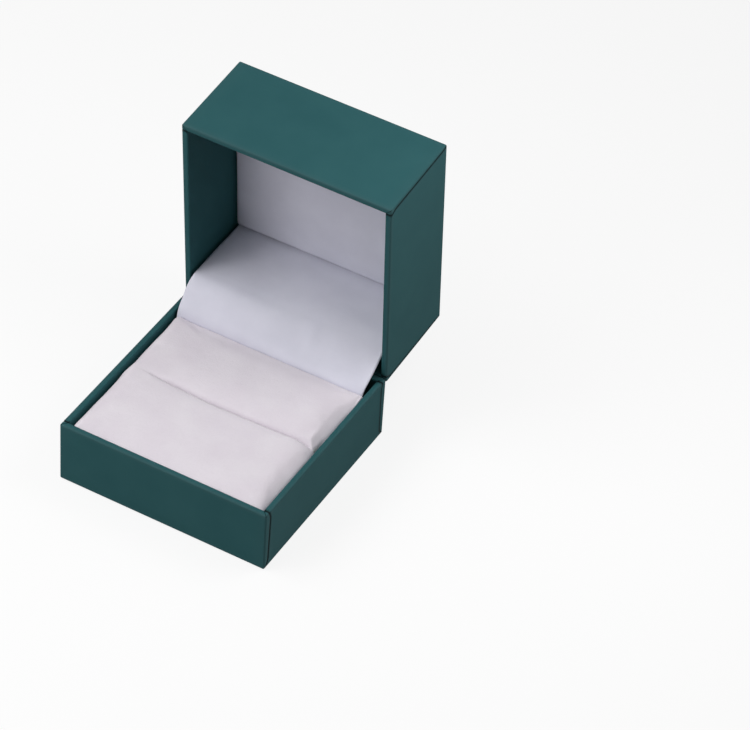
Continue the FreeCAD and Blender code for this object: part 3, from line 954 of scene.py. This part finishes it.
top -= fall(x + left_edge, *left_fall) * (1 - 0.25 * pucker)
behind = smooth_share(y, slit_y - 4, slit_y + 3)
end_drop = right_drop + 0.8 * behind - 2.4 * smooth_share(y, 9, 17.5)
top -= fall(right_edge - x, right_reach + 2.0 * behind, end_drop)
dip = bell((y - slit_line[:, None]) / dip_reach)
top -= dip_depth * dip * smooth_share(x, 14, 24) ** 2
top -= fall(y - cushion_front, *front_fall) + fall(cushion_rear - y, *rear_fall)
lip_open = shut_share + (1 - shut_share) * opening[:, None]
top -= lip_open * np.where(front_side, fall(front_gap, *front_lip_fall), 0)
lean = lean_drop * np.clip(1 - rear_gap / lean_reach, 0, 1) ** 1.5
top -= lip_open * np.where(front_side, 0, lean + fall(rear_gap, *rear_lip_fall))

lips = top[:, first - 1:first] * (1 - wall_share) + top[:, last:last + 1] * wall_share
top[:, first:last] = lips - (shut_share + slit_depth * opening[:, None]) * wall_depth
print("lowest point of the slit", round(float(top.min()), 2))

# %% [markdown]
# A smooth maximum keeps the cover a cloth's thickness above the foam: half the root of
# the room's square and a small square, less half the room, is added. A point that meets
# no foam stays high above and counts as having none below. Last come slow and small
# waves and the pucker's own height.

# %% Cushion
cover_thick = 0.25
blend_square = 0.04

for foam_node in ("cushion_foam_front", "cushion_foam_rear"):
    foam_top = dropped(frame["nodes"][foam_node], x, y)
    foam_top[foam_top > base_height + 5] = 0
    clear = top - foam_top - cover_thick
    top += (np.sqrt(clear ** 2 + blend_square) - clear) / 2
spots = np.stack([x, y, 0 * x], axis=-1).reshape(-1, 3)
waves = 0.1 * lattice_noise(spots, 6.5, 11) + 0.03 * lattice_noise(spots, 1.8, 12)
top += waves.reshape(x.shape)
top += 0.1 * pucker * bell((x + 23.4) / 1.3)

cushion = closed_block("velvet_cushion", x, y, top, card_top)
finer(cushion)
cushion.data.materials.append(velvet)
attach(cushion, "base")
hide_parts("cushion_cover")
print("cushion faces", len(cushion.data.polygons), "highest", round(float(top.max()), 2))

# %% [markdown]
# The lid's lining and the flap are a smoother white cloth with a cool cast. It has a
# short weave that only shows up close, and a soft low gloss.

# %% White lining cloth
lining, lining_shader = new_finish(
    "white_lining", (0.68, 0.675, 0.77), 0.6, Specular_IOR_Level=0.3, Sheen_Weight=0.15
)
cast = ramp(lining, cloud(lining, 8.0, 4.0), (0.655, 0.65, 0.745), (0.705, 0.7, 0.795))
plug(lining, cast, lining_shader.inputs["Base Color"])
threads = relief(lining, lining_shader, cloud(lining, 0.16, 2.0), 0.012)
relief(lining, lining_shader, cloud(lining, 3.5, 3.0), 0.05, threads)

# %% [markdown]
# The lining is thin foam on a card, covered in cloth and pressed under the lid's roof.
# It is drawn face up like the cushion, with a tighter edge and hardly any crown, then
# turned over and hung from the roof, and last of all turned open with the lid.

# %% Lid lining
roof_under = lid_top - paper - board
card_face = roof_under - card_thick
pad_face = pin[2] + 18.9
pad_half = inner_half - 0.06
pad_front = -half_depth + wall + 0.06
pad_rear = pads_rear + 0.85
pad_depth = card_face - pad_face
pad_margin = 0.1
pad_crown = 0.1
pad_fall = (0.5, 0.3)
pad_wave = 0.09

x, y, u, v = plan_grid(pad_front + pad_margin, pad_rear - pad_margin, pad_half - pad_margin)
top = pad_depth - 0.15 + pad_crown * (1 - u ** 4) * (1 - v ** 4)
for distance in (x + pad_half, pad_half - x, y - pad_front, pad_rear - y):
    top = top - fall(distance, *pad_fall)
pad = closed_block("lid_lining", x, y, top, 0.0)
swell(pad, voxel=0.7, pressure=2.0, cap=0.12)
points = mesh_points(pad)
face_share = np.clip((points[:, 2] - 1.5) / 1.0, 0, 1)
points[:, 2] += face_share * pad_wave * lattice_noise(points, 7.0, 5)
points[:, 0] = np.clip(points[:, 0], -pad_half, pad_half)
points[:, 1] = np.clip(points[:, 1], pad_front, pad_rear)
points[:, 2] = np.maximum(points[:, 2], 0.02)
points[:, 2] = card_face - points[:, 2]
set_points(pad, opened(points))
face_outwards(pad)
finer(pad)
pad.data.materials.clear()
pad.data.materials.append(lining)
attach(pad, "lid")
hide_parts("lid_pad_cover")
print("lining faces", len(pad.data.polygons))

# %% [markdown]
# The flap is one strip of cloth-covered paper. Its foot is tucked behind the cushion and
# its head behind the lining, and between them it arches over the hinge. The arch is
# fuller on the left, and on the right it is pulled down flatter. So the sheet has two
# outlines, one for each side edge, as places along the depth and the height, and every
# point lies between them.

# %% Flap
flap_half = inner_half - 0.75
flap_thick = 0.3
flap_across, flap_along = 97, 121
crease_height, dip_height, wave_height = 0.2, -0.22, 0.14
left_outline = np.array([
    [18.68, 3.0], [18.62, 12.0], [18.66, 15.4], [19.1, 17.1], [21.1, 19.85],
    [22.9, 21.95], [24.6, 22.85], [27.5, 23.1], [34.0, 23.25], [41.0, 23.4], [47.0, 23.6],
])
right_outline = np.array([
    [18.68, 3.0], [18.64, 12.0], [18.8, 14.8], [19.7, 16.0], [22.4, 17.65],
    [24.9, 19.35], [27.6, 21.3], [30.6, 22.7], [35.5, 23.3], [41.5, 23.55], [47.0, 23.8],
])


def smooth_line(outline, count):
    """Evenly spaced points on a curve whose slope at each given point is the mean of its
    two neighbours' slopes."""
    step = np.linalg.norm(np.diff(outline, axis=0), axis=1)
    along = np.concatenate([[0], np.cumsum(step)])
    slope = np.gradient(outline, along, axis=0)
    where = np.linspace(0, along[-1], count)
    piece_number = np.clip(np.searchsorted(along, where, side="right") - 1, 0, len(step) - 1)
    span = step[piece_number][:, None]
    t = (where - along[piece_number])[:, None] / span
    start, stop = outline[piece_number], outline[piece_number + 1]
    return (
        (2 * t ** 3 - 3 * t ** 2 + 1) * start
        + (t ** 3 - 2 * t ** 2 + t) * span * slope[piece_number]
        + (3 * t ** 2 - 2 * t ** 3) * stop
        + (t ** 3 - t ** 2) * span * slope[piece_number + 1]
    )


def flap_sheet(across, along):
    """The flap's middle surface, as an array of across by along by 3.

    Each point is the mean of the two outlines, weighted by a smooth share of the width.
    Crease and dip are bells and the wave is a sine, and they fade out where it is held.
    """
    left, right_side = smooth_line(left_outline, along), smooth_line(right_outline, along)
    x = np.linspace(-flap_half, flap_half, across)
    share = smooth_share((x / flap_half + 1) / 2, 0, 1)[:, None, None]
    section = left * (1 - share) + right_side * share
    grid_x = np.repeat(x[:, None], along, axis=1)
    place = np.repeat(np.linspace(0, 1, along)[None, :], across, axis=0)
    free = np.clip((place - 0.3) / 0.1, 0, 1) * np.clip((0.86 - place) / 0.12, 0, 1)
    crease = crease_height * bell((grid_x - 7.5) / 1.4, (place - 0.45) / 0.1)
    dip = dip_height * bell((grid_x + 12) / 9, (place - 0.62) / 0.09)
    wave = wave_height * np.sin(grid_x * 0.23 + 9 * place)
    section[..., 1] += free * (crease + dip + wave)
    return np.concatenate([grid_x[..., None], section], axis=-1)


flap_grid = flap_sheet(flap_across, flap_along)
flap_faces = quads_between(grid_index(flap_across, flap_along)).tolist()
flap = make_mesh("hinge_flap_cloth", flap_grid.reshape(-1, 3), flap_faces)
thick = flap.modifiers.new("thickness", "SOLIDIFY")
thick.thickness = flap_thick * mm
thick.offset = 0.0
settle(flap)
face_outwards(flap)
flap.data.materials.clear()
flap.data.materials.append(lining)
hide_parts("hinge_flap")
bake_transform(flap)

# %% [markdown]
# What is left keeps its measured mesh and gets a finish. Greyboard is pulp with flecks,
# gummed tape is brown, card is plain white, foam has open cells, and the hinge is
# pressed steel drawn out along its length.

# %% Inner finishes


def dry_finish(name, colour, roughness, pattern, low, high, grain, depth):
    """A dry material: cloudy between a low and a high shade, over a grain in relief.

    Pattern and grain are what the cloudy noise takes: size, detail and stretch.
    """
    material, shader = new_finish(name, colour, roughness)
    shades = ramp(material, cloud(material, *pattern), low, high)
    plug(material, shades, shader.inputs["Base Color"])
    relief(material, shader, cloud(material, *grain), depth)
    return material


def steel(name, colour, roughness):
    """Drawn steel: long fine streaks along the pin's direction."""
    material, shader = new_finish(name, colour, roughness, Metallic=1.0)
    streak = cloud(material, 0.12, 3.0, (0.05, 1.0, 1.0))
    low = tuple(0.85 * value for value in colour)
    plug(material, ramp(material, streak, low, colour), shader.inputs["Base Color"])
    relief(material, shader, streak, 0.004)
    return material


finishes = {
    "greyboard": dry_finish(
        "greyboard", (0.33, 0.3, 0.26), 0.9,
        pattern=(0.7, 5.0), low=(0.26, 0.235, 0.2), high=(0.4, 0.37, 0.32),
        grain=(0.3, 4.0), depth=0.05,
    ),
    "gummed_tape": dry_finish(
        "gummed_tape", (0.42, 0.27, 0.14), 0.7,
        pattern=(0.5, 3.0, (1.0, 1.0, 0.2)), low=(0.38, 0.24, 0.12), high=(0.46, 0.3, 0.16),
        grain=(0.3, 2.0), depth=0.01,
    ),
    "white_card": dry_finish(
        "white_card", (0.78, 0.77, 0.75), 0.8,
        pattern=(1.2, 4.0), low=(0.74, 0.73, 0.71), high=(0.81, 0.8, 0.78),
        grain=(0.25, 3.0), depth=0.01,
    ),
    "foam": dry_finish(
        "foam", (0.8, 0.78, 0.72), 0.95,
        pattern=(0.45, 4.0), low=(0.68, 0.66, 0.6), high=(0.84, 0.82, 0.76),
        grain=(0.45, 4.0), depth=0.15,
    ),
    "hinge_steel": steel("hinge_steel", (0.6, 0.59, 0.57), 0.35),
    "spring_steel": steel("spring_steel", (0.35, 0.35, 0.37), 0.3),
    "teal_paper": teal,
    "white_velvet": velvet,
    "white_satin": lining,
}
for entry in frame["record"]["subparts"]:
    node = frame["nodes"][entry["node"]]
    node.data.materials.clear()
    node.data.materials.append(finishes[entry["material_slot"]])

# %% [markdown]
# The hinge's bowed spring bends as the lid moves. Here it is drawn again in the open pose,
# as a strip cut finely along its length. It follows the circle through its two feet that
# stands out from the line between them by the bow. Its radius is the sum of the squares of
# half that line and of the bow, over twice the bow.

# %% Spring
foot_room = 0.77
foot_reach = 7.5
spring_sheet = 0.25
spring_half = 4.0
spring_cuts = 61
pin_room = 1.7

spring_foot = np.array([0.0, half_depth - wall - foot_room, pin[2] - foot_reach])
spring_head = opened([0.0, lid_rear - wall - foot_room, pin[2] + foot_reach])
chord = spring_head - spring_foot
chord_length = np.linalg.norm(chord)
along = chord / chord_length
out = np.array([0.0, -along[2], along[1]])
middle = (spring_foot + spring_head) / 2
bow = (pin - middle) @ out + pin_room
radius = (chord_length ** 2 / 4 + bow ** 2) / (2 * bow)
half_turn = math.asin(chord_length / 2 / radius)
turn = np.linspace(-half_turn, half_turn, spring_cuts)[:, None, None]
side = np.array([1, 1, -1, -1])[:, None] * spring_sheet / 2
away = out * np.cos(turn) + along * np.sin(turn)
strip = middle + out * (bow - radius) + (radius + side) * away
strip[..., 0] = np.array([-1, 1, 1, -1]) * spring_half
index = grid_index(spring_cuts, 4, columns_join=True)
ends = [index[0, :4].tolist(), index[-1, 3::-1].tolist()]
strip_faces = quads_between(index).tolist() + ends
spring = make_mesh("bow_spring", strip.reshape(-1, 3), strip_faces)
face_outwards(spring)
spring.data.set_sharp_from_angle(angle=sharp_angle)
spring.data.materials.append(finishes["spring_steel"])
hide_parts("hinge_spring")
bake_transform(spring)
print("spring arc", round(2 * half_turn * radius, 2), "mm, bow", round(float(bow), 2), "mm")
